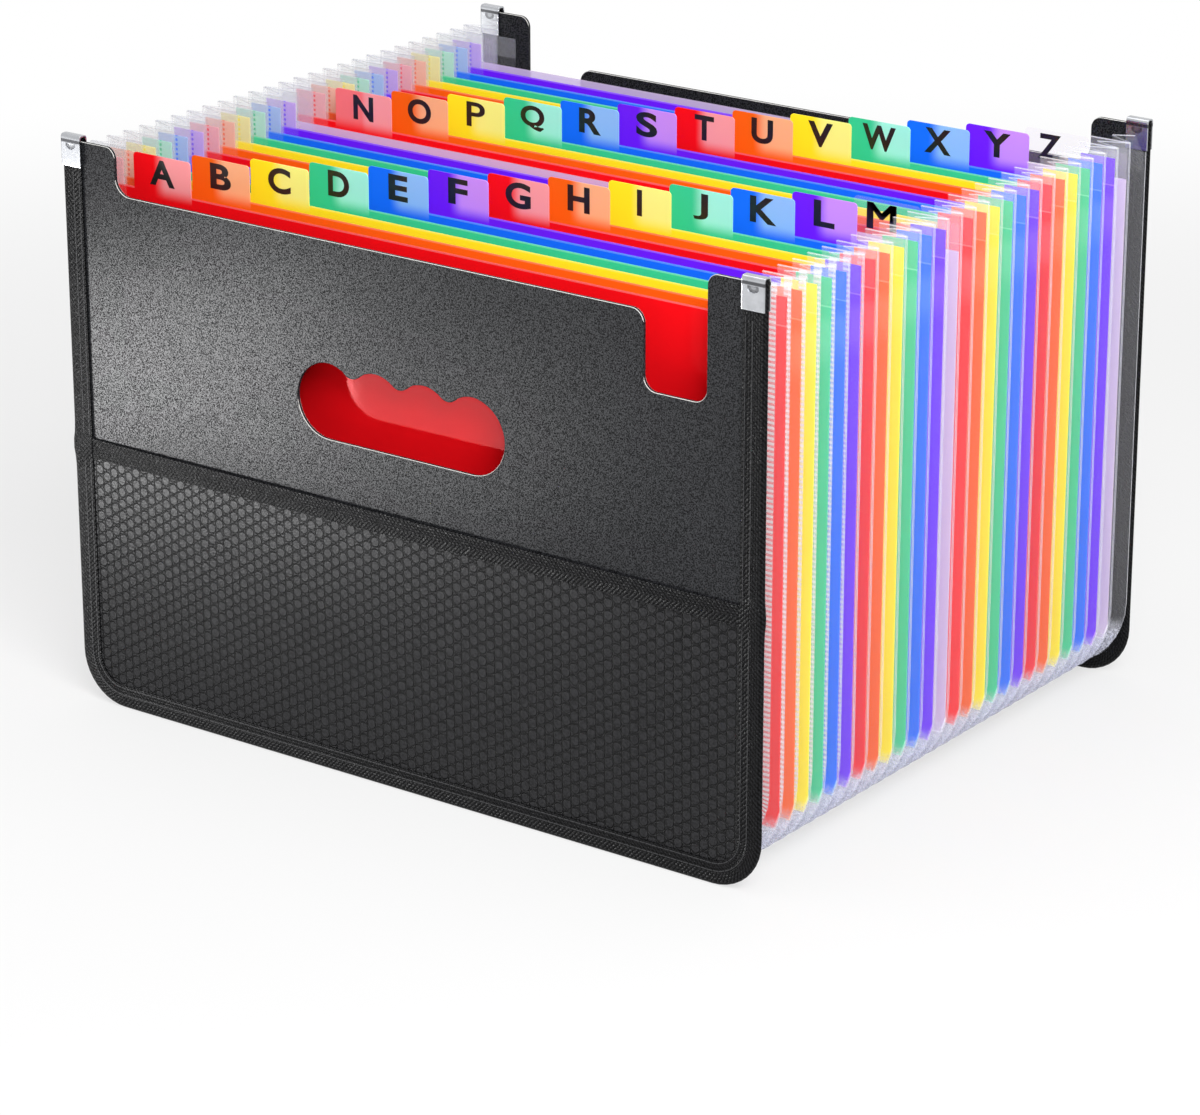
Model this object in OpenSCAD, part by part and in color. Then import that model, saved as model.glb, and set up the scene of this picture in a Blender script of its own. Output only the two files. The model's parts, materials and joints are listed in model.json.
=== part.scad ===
// Expanding file folder: two stiff covers, index leaves and folded film gussets between them.
// X runs across the covers, Y from the front cover to the back one, Z up from the table.

/* [Covers] */
// Width across a cover, with its edge binding
cover_w = 330; // [280:1:400]
// Height of the straight top edge of a cover
cover_h = 214; // [195:1:280]
// Rise of the edge binding's two ends above the straight edge
ear_rise = 20.3; // [16:0.1:30]
// Drop from the ends of the binding to the top of the board's ears
ear_drop = 1.7; // [0.8:0.1:4]
// Width of the plain ear
ear_w = 26.4; // [20:0.1:34]
// Width of the ear beside the thumb notch
notch_ear_w = 25.5; // [20:0.1:34]
// Width of the thumb notch
notch_w = 27.5; // [20:0.1:40]
// Depth of the thumb notch below the straight edge
notch_depth = 30; // [16:0.1:34]
// Radius at the bottom corners of a cover
corner_r = 21; // [14:0.5:30]
// Thickness of a cover board
board_t = 1.4; // [0.8:0.1:2.4]

/* [Hand hole] */
// Height of the lower edge of the hand hole
hole_z = 135.8; // [125:0.1:138]
// Distance from one finger lobe to the next
lobe_pitch = 22.9; // [21:0.1:24]
// Radius of a finger lobe
lobe_r = 13; // [12.2:0.1:14]
// Radius of the board tip between two lobes
tip_r = 5; // [3:0.1:6]
// Height of the lobe centres above the lower edge
lobe_rise = 17.2; // [15.5:0.1:19]
// Radius of the lower corners of the hole
hole_end_r = 15; // [13:0.1:15.4]

/* [Edge binding] */
// Width of the woven tape on each face of a cover
tape_w = 9.7; // [7:0.1:14]
// Thickness of the woven tape
tape_t = 0.45; // [0.3:0.05:0.7]
// Width of an end clip
clip_w = 9.7; // [8:0.1:14]
// Distance from the outer edge of the binding to the clip
clip_inset = 0.4; // [0:0.1:2]
// Height of an end clip
clip_h = 12.5; // [9:0.1:15]
// Thickness of the clip metal
clip_t = 0.7; // [0.4:0.1:0.9]
// Radius of the punched dimple in a clip
dimple_r = 1.6; // [1:0.1:2]
// Height of the dimple
dimple_h = 0.3; // [0.2:0.1:0.5]

/* [Front pocket] */
// Height of the bound top edge of the pocket
pocket_h = 112.1; // [90:0.1:118]
// Thickness of the pocket fabric
fabric_t = 0.5; // [0.3:0.1:0.8]
// Height of the bound hem
hem_h = 8.2; // [6:0.1:12]

/* [Index leaves] */
// Distance from one leaf to the next with the folder pulled open
leaf_pitch = 9.45; // [7:0.05:12]
// Distance from the inside of a cover to the nearest leaf
end_gap = 13; // [9:0.1:16]
// Thickness of a leaf
leaf_t = 0.4; // [0.3:0.05:0.6]
// Gap between the side of a leaf and the side of a cover
leaf_side_gap = 2.1; // [1:0.1:4]
// Height of the lower edge of a leaf
leaf_z = 21; // [14:0.5:26]
// Drop from the straight edge of a cover to that of a leaf
leaf_drop = 0.3; // [0:0.1:3]
// Rise of the side ears of a leaf above its straight edge
leaf_ear_rise = 10.4; // [8:0.1:12]
// Width of the side ears of a leaf
leaf_ear_w = 15.2; // [12:0.1:17]
// Rise of the index tab above the straight edge
tab_rise = 14.1; // [10:0.1:18]
// Width of an index tab
tab_w = 29; // [22:0.5:30]
// Gap between the left ear and the first index tab
tab_gap = 5.7; // [2:0.1:10]
// Gap between the right ear and the last tab
tab_end_gap = 2; // [0.4:0.1:10]
// Radius of the tab corners
tab_r = 1.6; // [0.8:0.1:3]

/* [Gusset film] */
// Gap between the side of the gusset film and the side of a cover
film_side_gap = 0.8; // [0.4:0.1:2]
// Drop from the ends of the binding to the top of the film
film_drop = 5.6; // [1:0.1:8]
// Gap between the gusset film and the table
film_z = 0.5; // [0.3:0.1:2]
// Radius at the bottom corners of the film
film_r = 33; // [26:0.5:40]
// Thickness of the film
film_t = 0.2; // [0.1:0.05:0.25]
// Depth of the inward fold
fold_d = 12; // [8:0.1:16]
// Width of the welded margin up the sides
weld_w = 18; // [13:0.1:20]
// Height of the welded margin along the bottom
weld_h = 24; // [21:0.5:32]

/* [Hidden] */
$fn = 64;
over = 1;
tab_columns = 13;
leaf_count = 26;
lobes = 4;
gusset_count = leaf_count + 1;

cover_t = 2 * tape_t + fabric_t + board_t;
inner_d = 2 * end_gap + (leaf_count - 1) * leaf_pitch;
front_y = -inner_d / 2 - cover_t;
ear_top = cover_h + ear_rise;
board_top = ear_top - ear_drop;
ear_r = 4.5;
foot_r = 7;
notch_r = 5.5;
notch_ear_x = cover_w / 2 - notch_ear_w;

leaf_w = cover_w - 2 * leaf_side_gap;
leaf_top = cover_h - leaf_drop;
leaf_ear_x = leaf_w / 2 - leaf_ear_w;
leaf_chamfer_x = 1.8;
leaf_chamfer_z = 5.2;
first_tab_x = -leaf_ear_x + tab_gap + tab_w / 2;
last_tab_x = leaf_ear_x - tab_end_gap - tab_w / 2;
film_w = cover_w - 2 * film_side_gap;
film_top = ear_top - film_drop;
clip_gap = 0.3;
bend_steps = 6;

function leaf_y(k) = -inner_d / 2 + end_gap + (k - 1) * leaf_pitch;
function tab_x(k) =
    first_tab_x + (last_tab_x - first_tab_x) * ((k - 1) % tab_columns) / (tab_columns - 1);
function gusset_start(k) = k == 1 ? -inner_d / 2 : leaf_y(k - 1) + leaf_t / 2;
function gusset_end(k) = k == gusset_count ? inner_d / 2 : leaf_y(k) - leaf_t / 2;

// The film next to a cover stops below the end clips
function gusset_top(k) =
    k == 1 || k == gusset_count ? min(film_top, ear_top + clip_t - clip_h - clip_gap) : film_top;

function two_digits(k) = k < 10 ? str("0", k) : str(k);
function leaf_name(k) = str("leaf_", two_digits(k));
function gusset_name(k) = str("gusset_", two_digits(k));

LEAF_COLOURS = ["red", "darkorange", "gold", "mediumseagreen", "dodgerblue", "blueviolet"];
CLEAR_LEAVES = [13, 26];
function colour_turn(k) = k < CLEAR_LEAVES[0] ? k - 1 : k - 2;
function leaf_colour(k) =
    len(search(k, CLEAR_LEAVES)) > 0 ? "lavender" : LEAF_COLOURS[colour_turn(k) % len(LEAF_COLOURS)];

// A flat plate that stands upright, from depth y to y + t, of an outline drawn in X and Z
module upright(y, t) {
    translate([0, y + t, 0]) rotate([90, 0, 0]) linear_extrude(t) children();
}

// A square that spans from one corner to the other
module span(low, high) {
    translate(low) square(high - low);
}

// The space between a square inner corner at the origin and the quarter circle that rounds it,
// in the quadrant where sx and sz point
module corner_fill(r, sx, sz) {
    difference() {
        translate([sx > 0 ? 0 : -r, sz > 0 ? 0 : -r]) square(r);
        translate([sx * r, sz * r]) circle(r);
    }
}

// A sheet with an open square top and rounded bottom corners
module sheet_outline(w, bottom, top, r) {
    span([-w / 2, bottom + r], [w / 2, top]);
    span([-w / 2 + r, bottom], [w / 2 - r, bottom + r]);
    for (side = [-1, 1]) translate([side * (w / 2 - r), bottom + r]) circle(r);
}

// The finger hole: four lobes above, a straight edge below
module hand_hole() {
    reach = (lobes - 1) / 2 * lobe_pitch;
    lobe_z = hole_z + lobe_rise;
    tip_rise = sqrt(pow(lobe_r + tip_r, 2) - pow(lobe_pitch / 2, 2));
    meet_rise = tip_rise * lobe_r / (lobe_r + tip_r);
    difference() {
        union() {
            for (i = [0:lobes - 1]) translate([-reach + i * lobe_pitch, lobe_z]) circle(lobe_r);
            for (side = [-1, 1]) translate([side * reach, hole_z + hole_end_r]) circle(hole_end_r);
            span([-reach, hole_z], [reach, lobe_z + meet_rise]);
        }
        for (i = [1:lobes - 1])
            translate([-reach + (i - 1 / 2) * lobe_pitch, lobe_z + tip_rise]) circle(tip_r);
    }
}

// The board's outline between its ears, taken away from the full sheet
module top_cut() {
    notch_x = notch_ear_x - notch_w;
    notch_z = cover_h - notch_depth;
    ear_x = -cover_w / 2 + ear_w;
    difference() {
        union() {
            span([ear_x, cover_h], [notch_ear_x, board_top + over]);
            span([notch_x, notch_z], [notch_ear_x, cover_h + over]);
            translate([ear_x, board_top]) corner_fill(ear_r, -1, -1);
            translate([notch_ear_x, board_top]) corner_fill(ear_r, 1, -1);
            translate([notch_x, cover_h]) corner_fill(notch_r, -1, -1);
        }
        translate([ear_x, cover_h]) corner_fill(foot_r, 1, 1);
        translate([notch_x, notch_z]) corner_fill(notch_r, 1, 1);
        translate([notch_ear_x, notch_z]) corner_fill(notch_r, -1, 1);
    }
}

// The stiff board, in its place in the front cover
module board() {
    upright(front_y + tape_t + fabric_t, board_t) difference() {
        sheet_outline(cover_w - 2 * tape_t, tape_t, board_top, corner_r - tape_t);
        top_cut();
        hand_hole();
    }
}

// The pocket fabric, tucked under the binding on three sides
module pocket_fabric() {
    upright(front_y + tape_t, fabric_t)
        sheet_outline(cover_w - 2 * tape_t, tape_t, pocket_h - tape_t, corner_r - tape_t);
}

// Woven tape folded round the left, bottom and right edges of the front cover
module tape_edge() {
    difference() {
        upright(front_y, cover_t) difference() {
            sheet_outline(cover_w, 0, ear_top, corner_r);
            sheet_outline(cover_w - 2 * tape_w, tape_w, ear_top + over, corner_r - tape_w);
        }
        board();
    }
}

// One end clip: bright metal bent over the top end of the binding
module clip(side) {
    clip_x = side > 0 ? cover_w / 2 - clip_inset - clip_w : clip_inset - cover_w / 2;
    top = ear_top + clip_t;
    difference() {
        translate([clip_x, front_y - clip_t, top - clip_h])
            cube([clip_w, cover_t + 2 * clip_t, clip_h]);
        translate([clip_x - over, front_y, top - clip_h - over])
            cube([clip_w + 2 * over, cover_t, clip_h + over - clip_t]);
    }
    translate([clip_x + clip_w / 2, front_y - clip_t, top - clip_h / 3])
        rotate([90, 0, 0]) cylinder(h = dimple_h, r = dimple_r);
}

module front_panel() {
    color("#3d3f42") board();
}

module front_binding() {
    color("#17171a") difference() {
        tape_edge();
        pocket_fabric();
    }
}

// The fabric pocket and the tape that binds its top edge
module front_pocket() {
    window_w = cover_w - 2 * tape_w;
    color("#2c2d30") {
        pocket_fabric();
        upright(front_y, tape_t) span([-window_w / 2, pocket_h - hem_h], [window_w / 2, pocket_h]);
        upright(front_y + tape_t, fabric_t)
            span([-window_w / 2, pocket_h - tape_t], [window_w / 2, pocket_h]);
    }
}

module front_clips() {
    color("silver") for (side = [-1, 1]) clip(side);
}

module back_panel() {
    color("#3d3f42") rotate([0, 0, 180]) board();
}

module back_binding() {
    color("#17171a") rotate([0, 0, 180]) tape_edge();
}

module back_clips() {
    color("silver") rotate([0, 0, 180]) for (side = [-1, 1]) clip(side);
}

// One index leaf: a sheet with clipped lower corners, a welded ear at each side and its own tab
module leaf(k) {
    side_x = leaf_w / 2;
    ear_top_z = leaf_top + leaf_ear_rise;
    tab_low = tab_x(k) - tab_w / 2;
    tab_high = tab_x(k) + tab_w / 2;
    tab_top = leaf_top + tab_rise;
    color(leaf_colour(k)) upright(leaf_y(k) - leaf_t / 2, leaf_t) difference() {
        polygon([
            [-side_x + leaf_chamfer_x, leaf_z], [side_x - leaf_chamfer_x, leaf_z],
            [side_x, leaf_z + leaf_chamfer_z], [side_x, ear_top_z],
            [leaf_ear_x, ear_top_z], [leaf_ear_x, leaf_top],
            [tab_high, leaf_top], [tab_high, tab_top], [tab_low, tab_top], [tab_low, leaf_top],
            [-leaf_ear_x, leaf_top], [-leaf_ear_x, ear_top_z],
            [-side_x, ear_top_z], [-side_x, leaf_z + leaf_chamfer_z]
        ]);
        translate([tab_low, tab_top]) corner_fill(tab_r, 1, -1);
        translate([tab_high, tab_top]) corner_fill(tab_r, -1, -1);
    }
}

// The cross-section of a gusset: u inward from its outer edge, v from the sheet in front to the one behind
function fold_section(gap, weld) =
    let (half = gap / 2, skin = film_t * sqrt(1 + pow(fold_d / (half - film_t), 2)))
    [
        [weld, 0], [0, 0], [0, film_t], [fold_d, half], [0, gap - film_t], [0, gap],
        [weld, gap], [weld, gap - film_t], [skin, gap - film_t], [fold_d + skin, half],
        [skin, film_t], [weld, film_t]
    ];

// Triangles that close the cut end of that section, by the order of its points
SECTION_END = [
    [0, 1, 10], [1, 2, 10], [0, 10, 11], [2, 3, 9], [2, 9, 10],
    [3, 4, 8], [3, 8, 9], [4, 5, 8], [5, 6, 8], [6, 7, 8]
];

// Stations along a gusset, down the left side, along the bottom and up the right side:
// each is [x, z, angle of the inward direction, share of the bottom margin's height]
function gusset_stations(top) =
    let (side_x = film_w / 2, bend_x = side_x - film_r, bend_z = film_z + film_r)
    concat(
        [[-side_x, top, 0, 0]],
        [for (i = [0:bend_steps]) let (a = 90 * i / bend_steps)
            [-bend_x - film_r * cos(a), bend_z - film_r * sin(a), a, i / bend_steps]],
        [for (i = [0:bend_steps]) let (a = 90 * i / bend_steps)
            [bend_x + film_r * sin(a), bend_z - film_r * cos(a), 90 + a, 1 - i / bend_steps]],
        [[side_x, top, 180, 0]]
    );

// One gusset: film welded flat to the sheets in front and behind, and folded inward between them
module gusset(k) {
    start = gusset_start(k);
    gap = gusset_end(k) - start;
    stations = gusset_stations(gusset_top(k));
    points = [
        for (s = stations) for (p = fold_section(gap, weld_w + (weld_h - weld_w) * s[3]))
            [s[0] + p[0] * cos(s[2]), start + p[1], s[1] + p[0] * sin(s[2])]
    ];
    ring = len(fold_section(gap, weld_w));
    last = ring * (len(stations) - 1);
    faces = concat(
        [for (f = SECTION_END) [f[2], f[1], f[0]]],
        [for (j = [0:len(stations) - 2]) for (i = [0:ring - 1]) let (n = (i + 1) % ring)
            each [
                [ring * j + i, ring * j + n, ring * (j + 1) + n],
                [ring * j + i, ring * (j + 1) + n, ring * (j + 1) + i]
            ]],
        [for (f = SECTION_END) [for (i = f) last + i]]
    );
    color("#dfe3f2", 0.5) polyhedron(points, faces);
}

front_panel();
front_binding();
front_pocket();
front_clips();
back_panel();
back_binding();
back_clips();
for (k = [1:leaf_count]) leaf(k);
for (k = [1:gusset_count]) gusset(k);
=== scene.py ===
"""Looks of an expanding file folder: bound charcoal covers, clear accordion film and coloured index leaves.

Lengths are named in millimetres, as in the part's source, and become metres where a piece is made.
"""

import json
import math

import bmesh
import bpy
from mathutils import Matrix, Vector

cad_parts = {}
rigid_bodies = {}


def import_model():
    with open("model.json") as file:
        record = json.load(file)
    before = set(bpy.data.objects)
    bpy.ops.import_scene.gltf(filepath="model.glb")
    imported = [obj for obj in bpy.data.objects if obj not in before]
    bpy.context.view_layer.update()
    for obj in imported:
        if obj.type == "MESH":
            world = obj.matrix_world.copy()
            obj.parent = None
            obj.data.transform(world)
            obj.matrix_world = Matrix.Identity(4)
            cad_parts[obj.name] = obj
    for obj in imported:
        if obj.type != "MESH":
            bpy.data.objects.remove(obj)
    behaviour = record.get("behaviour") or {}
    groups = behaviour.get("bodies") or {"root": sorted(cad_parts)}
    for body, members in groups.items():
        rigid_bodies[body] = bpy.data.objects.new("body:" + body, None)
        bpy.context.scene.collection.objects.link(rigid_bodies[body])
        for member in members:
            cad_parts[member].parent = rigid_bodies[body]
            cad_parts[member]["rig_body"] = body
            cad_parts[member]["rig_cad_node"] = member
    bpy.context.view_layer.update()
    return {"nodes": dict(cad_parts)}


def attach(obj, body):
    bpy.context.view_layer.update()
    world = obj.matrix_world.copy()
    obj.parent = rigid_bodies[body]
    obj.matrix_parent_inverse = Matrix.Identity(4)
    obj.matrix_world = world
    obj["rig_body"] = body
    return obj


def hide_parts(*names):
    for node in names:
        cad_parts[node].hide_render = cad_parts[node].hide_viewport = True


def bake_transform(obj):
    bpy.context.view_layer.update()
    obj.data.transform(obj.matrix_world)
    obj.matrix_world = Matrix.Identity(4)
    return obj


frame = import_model()
bpy.ops.object.select_all(action="DESELECT")

MM = 0.001

# Camera, as fitted to the corners of the two covers
CAMERA_PLACE = (1.00119, -1.36953, 0.68556)
CAMERA_PITCH = 0.355355
CAMERA_TURN = 0.633585
CAMERA_LENS = 134.89

# Covers
COVER_W = 330
EAR_TOP = 234.3
CORNER_R = 21
COVER_T = 2.8
INNER_HALF = 131.125
FRONT_Y = -INNER_HALF - COVER_T
EDGE_EASE = 0.2

# Woven edge tape, its clips and its thread
TAPE_W = 9.7
TAPE_T = 0.45
TAPE_STEPS = (60, 10, 40)
RIB_PITCH = 1.9
YARN_PITCH = 1.1
CLIP_W = 9.7
CLIP_INSET = 0.4
CLIP_H = 12.5
CLIP_T = 0.7
CLIP_BEND = 1.3
CLIP_EASE = 0.12
CLIP_STEPS = 24
CLIP_BEND_STEPS = 6
CREASE_Z = EAR_TOP - 1.8
PUNCH_X = COVER_W / 2 - CLIP_INSET - CLIP_W / 2
PUNCH_Z = 231.1
PUNCH_HALF_W = 2.5
PUNCH_DROP = 2.0
PUNCH_WALL = 0.25
PUNCH_DEPTH = 0.4
STITCH_PITCH = 2.7
STITCH_L = 2.1
STITCH_THICK = 0.42
SEAM_LINES = {"middle": 5.6, "edge": 8.6}
SEAM_LIFT = 0.05

# Front pocket
POCKET_TOP = 112.1
HEM_H = 8.2
HEM_T = 0.3
HEM_SINK = 0.16
SWELL_SIDE = 0.72
SWELL_FRONT = 0.63
SWELL_IN = 3
SWELL_REACH = 4.6
FABRIC_T = 0.5
CLOTH_TOP = POCKET_TOP - 1
POCKET_CROWN = 0.8
CROWN_ARC = 0.62 * math.pi
SLACK = 0.12
SLACK_WAVES = (23, 17)
TUCK = 3.0
CLOTH_HALF_W = COVER_W / 2 - TAPE_W + TUCK
CLOTH_FOOT = TAPE_W - TUCK
DIMPLE_ACROSS = 3.9
DIMPLE_UP = 4.87
DIMPLE_R = 2.02

# Index leaves
LEAF_COUNT = 26
LEAF_PITCH = 9.45
LEAF_T = 0.4
FIRST_LEAF_Y = -118.125
LEAF_TOP = 213.7
EAR_X = 147.7
TAB_COLUMNS = 13
FIRST_TAB_X = -127.5
LAST_TAB_X = 131.2
TAB_W = 29
LEAF_HALF_W = 162.9
LEAF_FOOT = 21
LEAF_CUT_IN = 1.8
LEAF_CUT_WAY = (0.945, 0.327)
EAR_SPOTS_X = -153.3
LETTER_H = 10.2
LETTER_MID = 221.2
FONT_SCALE = 1.24
STROKE_GROWTH = 0.04
INK_T = 0.03
INK_GAP = 0.005

# Accordion film
FILM_W = 328.4
FILM_TOP = 228.7
END_FILM_TOP = 222.2
END_FILM_DEEP = 0.9
FILM_FOOT = 0.5
FILM_R = 33
FILM_T = 0.12
FILM_STEPS = (12, 9, 10)
WELD_W = 18
WELD_H = 24
FOLD_D = 12
FOLD_L = 13.5
FLANGE_RIM = 1.5
FILM_OFFSET = 0.1
SPOT_PITCH = 1.96
SPOT_ROW = 7.2

# Floor, which turns to plain white between two distances, and the light of the sky
FLOOR_NEAR = 450
FLOOR_FAR = 1000
FLOOR_SHARE = 0.66
SKY_LIGHT = 0.42


def leaf_y(k):
    return FIRST_LEAF_Y + (k - 1) * LEAF_PITCH


def tab_x(k):
    step = (LAST_TAB_X - FIRST_TAB_X) / (TAB_COLUMNS - 1)
    return FIRST_TAB_X + step * ((k - 1) % TAB_COLUMNS)


def leaf_body(k):
    return f"leaf_{k:02d}_sheet"


def linear(red, green, blue):
    """A colour picked on a screen, in the numbers that shaders take."""
    def one(v):
        v = v / 255
        return v / 12.92 if v <= 0.04045 else ((v + 0.055) / 1.055) ** 2.4
    return (one(red), one(green), one(blue), 1.0)


class Wire:
    """A number in a material. A sum or product with it adds the Math node."""

    def __init__(self, finish, socket):
        self.finish = finish
        self.socket = socket

    def maths(self, operation, *values):
        return self.finish.node("ShaderNodeMath", {"operation": operation}, dict(enumerate(values)))

    def __add__(self, other):
        return self.maths("ADD", self, other)

    def __sub__(self, other):
        return self.maths("SUBTRACT", self, other)

    def __rsub__(self, other):
        return self.maths("SUBTRACT", other, self)

    def __mul__(self, other):
        return self.maths("MULTIPLY", self, other)

    def __truediv__(self, other):
        return self.maths("DIVIDE", self, other)

    def __abs__(self):
        return self.maths("ABSOLUTE", self)

    def part(self):
        return self.maths("FRACT", self)

    def wave(self):
        return self.maths("SINE", self)

    def most(self, other):
        return self.maths("MAXIMUM", self, other)

    def least(self, other):
        return self.maths("MINIMUM", self, other)

    def ramp(self, low, high):
        """Rises smoothly from 0 at low to 1 at high, or falls where high is the smaller."""
        rising = low < high
        return self.finish.node(
            "ShaderNodeMapRange",
            {"interpolation_type": "SMOOTHSTEP"},
            {0: self, 1: min(low, high), 2: max(low, high), 3: 0 if rising else 1, 4: 1 if rising else 0},
        )

    __radd__ = __add__
    __rmul__ = __mul__


class Finish:
    """A procedural material round one Principled shader."""

    def __init__(self, name):
        self.material = bpy.data.materials.new(name)
        self.material.use_nodes = True
        self.tree = self.material.node_tree
        self.shader = self.tree.nodes["Principled BSDF"]
        self.out = self.tree.nodes["Material Output"]

    def node(self, kind, settings=None, inputs=None, output=0):
        """Adds a node: its settings first, then the values or links of its sockets."""
        made = self.tree.nodes.new(kind)
        for name, value in (settings or {}).items():
            setattr(made, name, value)
        for key, value in (inputs or {}).items():
            self.join(value, made.inputs[key])
        return Wire(self, made.outputs[output])

    def join(self, value, socket):
        if isinstance(value, Wire):
            self.tree.links.new(value.socket, socket)
        else:
            socket.default_value = value

    def set(self, **sockets):
        for name, value in sockets.items():
            self.join(value, self.shader.inputs[name.replace("_", " ")])
        return self

    def place(self):
        """Object coordinates in millimetres, as one vector."""
        coords = self.node("ShaderNodeTexCoord", output="Object")
        return self.node("ShaderNodeVectorMath", {"operation": "SCALE"}, {0: coords, "Scale": 1 / MM})

    def way(self):
        """The piece's own map: millimetres along it and across it."""
        coords = self.node("ShaderNodeTexCoord", output="UV")
        return self.node("ShaderNodeVectorMath", {"operation": "SCALE"}, {0: coords, "Scale": 1 / MM})

    def axes(self, vector):
        split = self.tree.nodes.new("ShaderNodeSeparateXYZ")
        self.join(vector, split.inputs[0])
        return [Wire(self, s) for s in split.outputs]

    def noise(self, vector, size, detail=2.0, roughness=0.5):
        return self.node(
            "ShaderNodeTexNoise", None,
            {"Vector": vector, "Scale": 1 / size, "Detail": detail, "Roughness": roughness},
        )

    def blend(self, share, first, second):
        """A colour between two colours."""
        return self.node(
            "ShaderNodeMix", {"data_type": "RGBA"}, {"Factor": share, 6: first, 7: second}, output=2
        )

    def relief(self, height, depth, strength=1.0):
        """A bump of that depth in millimetres."""
        return self.node(
            "ShaderNodeBump", None, {"Strength": strength, "Distance": depth * MM, "Height": height}
        )


# Materials of the covers

def board_plastic():
    """Charcoal polypropylene with a fine leather grain, glossier on the high spots."""
    f = Finish("grained_board")
    here = f.place()
    grain = f.noise(here, 0.55, roughness=0.6)
    cloud = f.noise(here, 38)
    tone = grain.ramp(0.38, 0.62) * 0.85 + cloud * 0.15
    f.shader.inputs["Specular IOR Level"].default_value = 0.03
    f.shader.inputs["Coat Roughness"].default_value = 0.3
    return f.set(
        Base_Color=f.blend(tone, linear(8, 8, 9), linear(48, 49, 52)),
        Coat_Weight=grain.ramp(0.34, 0.66) * 0.32,
        Normal=f.relief(grain, 0.2),
    ).material


# Pale colour for the board's eased edges: a painted highlight, given only to the eased faces that face
# upward.
def painted_edge_highlight():
    f = Finish("board_edge_painted_highlight")
    speck = f.noise(f.place(), 0.9)
    return f.set(
        Base_Color=f.blend(speck, linear(168, 168, 166), linear(214, 213, 208)),
        Roughness=0.5,
    ).material


def woven_tape():
    """Black herringbone tape, with the warp along the tape's own map."""
    f = Finish("woven_tape")
    along, across, _ = f.axes(f.way())
    slant = abs(across - TAPE_W / 2)
    rib = ((along + slant) * (2 * math.pi / RIB_PITCH)).wave()
    yarn = (across * (2 * math.pi / YARN_PITCH)).wave()
    fuzz = f.noise(f.place(), 0.7)
    height = rib * 0.35 + yarn * 0.2 + fuzz * 1.3
    tone = height.ramp(0.3, 1.1)
    f.shader.inputs["Specular IOR Level"].default_value = 0.08
    return f.set(
        Base_Color=f.blend(tone, linear(0, 0, 0), linear(26, 26, 28)),
        Roughness=0.22 + fuzz.ramp(0.4, 0.6) * 0.26,
        Normal=f.relief(height, 0.24),
    ).material


def pocket_cloth():
    """Coated cloth, embossed with round dimples in staggered columns, with painted shade in the grooves
    round them.
    """
    f = Finish("embossed_cloth")
    here = f.place()
    x, _, z = f.axes(here)
    column = x / DIMPLE_ACROSS

    def disc(shift):
        across = (column / 2 + shift / 2).part() * 2 - 1
        up = (z / DIMPLE_UP + shift / 2).part() - 0.5
        across = across * DIMPLE_ACROSS
        up = up * DIMPLE_UP
        far = across * across + up * up
        return far.maths("SQRT", far)

    away = disc(0).least(disc(1))
    pad = away.ramp(DIMPLE_R, DIMPLE_R - 0.35)
    # The groove round each dimple is real relief in the bump, and painted shade in the colour.
    groove_and_painted_shade = away.ramp(DIMPLE_R - 0.3, DIMPLE_R) * away.ramp(DIMPLE_R + 0.4, DIMPLE_R + 0.1)
    grain = f.noise(here, 0.8, roughness=0.6)
    tone = pad * 0.25 + grain.ramp(0.38, 0.62) * 0.6 - groove_and_painted_shade * 0.7 + 0.15
    f.shader.inputs["Specular IOR Level"].default_value = 0.13
    return f.set(
        Base_Color=f.blend(tone.ramp(0.0, 1.0), linear(1, 1, 2), linear(42, 42, 44)),
        Roughness=0.33,
        Normal=f.relief(pad - groove_and_painted_shade * 0.6 + grain * 0.3, 0.5),
    ).material


def sewing_thread():
    f = Finish("sewing_thread")
    twist = f.noise(f.place(), 0.25)
    return f.set(
        Base_Color=f.blend(twist, linear(8, 8, 9), linear(44, 44, 47)),
        Roughness=0.7,
    ).material


def nickel():
    """Bright plate, with a painted dark reflection band just under the bend and painted shade round the
    punched dimple.
    """
    f = Finish("nickel_plate")
    here = f.place()
    x, _, z = f.axes(here)
    brushed = f.noise(here, 0.5, detail=3.0)
    smear = f.noise(here, 5)
    # Painted reflection: the colour darkens in a band just under the bend.
    painted_bend_reflection = abs(z - CREASE_Z).ramp(0.9, 0.4)
    # Painted shade: the colour darkens round the punched dimple, less so in its middle.
    across = (abs(x) - PUNCH_X) / PUNCH_HALF_W
    up = (z - PUNCH_Z) / PUNCH_DROP
    spread = across * across + up * up
    painted_dimple_shade = spread.ramp(1.1, 0.8) * up.ramp(0.4, 0.2) * (1 - spread.ramp(0.3, 0.1) * 0.5)
    plate = f.blend(smear, linear(164, 166, 170), linear(198, 200, 204))
    return f.set(
        Base_Color=f.blend((painted_bend_reflection * 0.85).most(painted_dimple_shade * 0.6), plate, linear(52, 52, 55)),
        Metallic=1.0,
        Roughness=0.2 + brushed * 0.1,
        Normal=f.relief(smear, 0.05, 0.5),
    ).material


# Materials of the leaves and the film

LEAF_TONES = [
    ("red", linear(253, 20, 30), linear(255, 186, 190)),
    ("orange", linear(248, 114, 26), linear(255, 204, 158)),
    ("yellow", linear(255, 244, 46), linear(255, 255, 160)),
    ("green", linear(64, 214, 168), linear(186, 255, 242)),
    ("blue", linear(30, 124, 255), linear(168, 216, 255)),
    ("purple", linear(130, 38, 246), linear(226, 170, 255)),
]
CLEAR_LEAVES = (13, 26)
CLEAR_TONE = linear(222, 204, 230)
MILKY_TABS = (14,)


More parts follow.
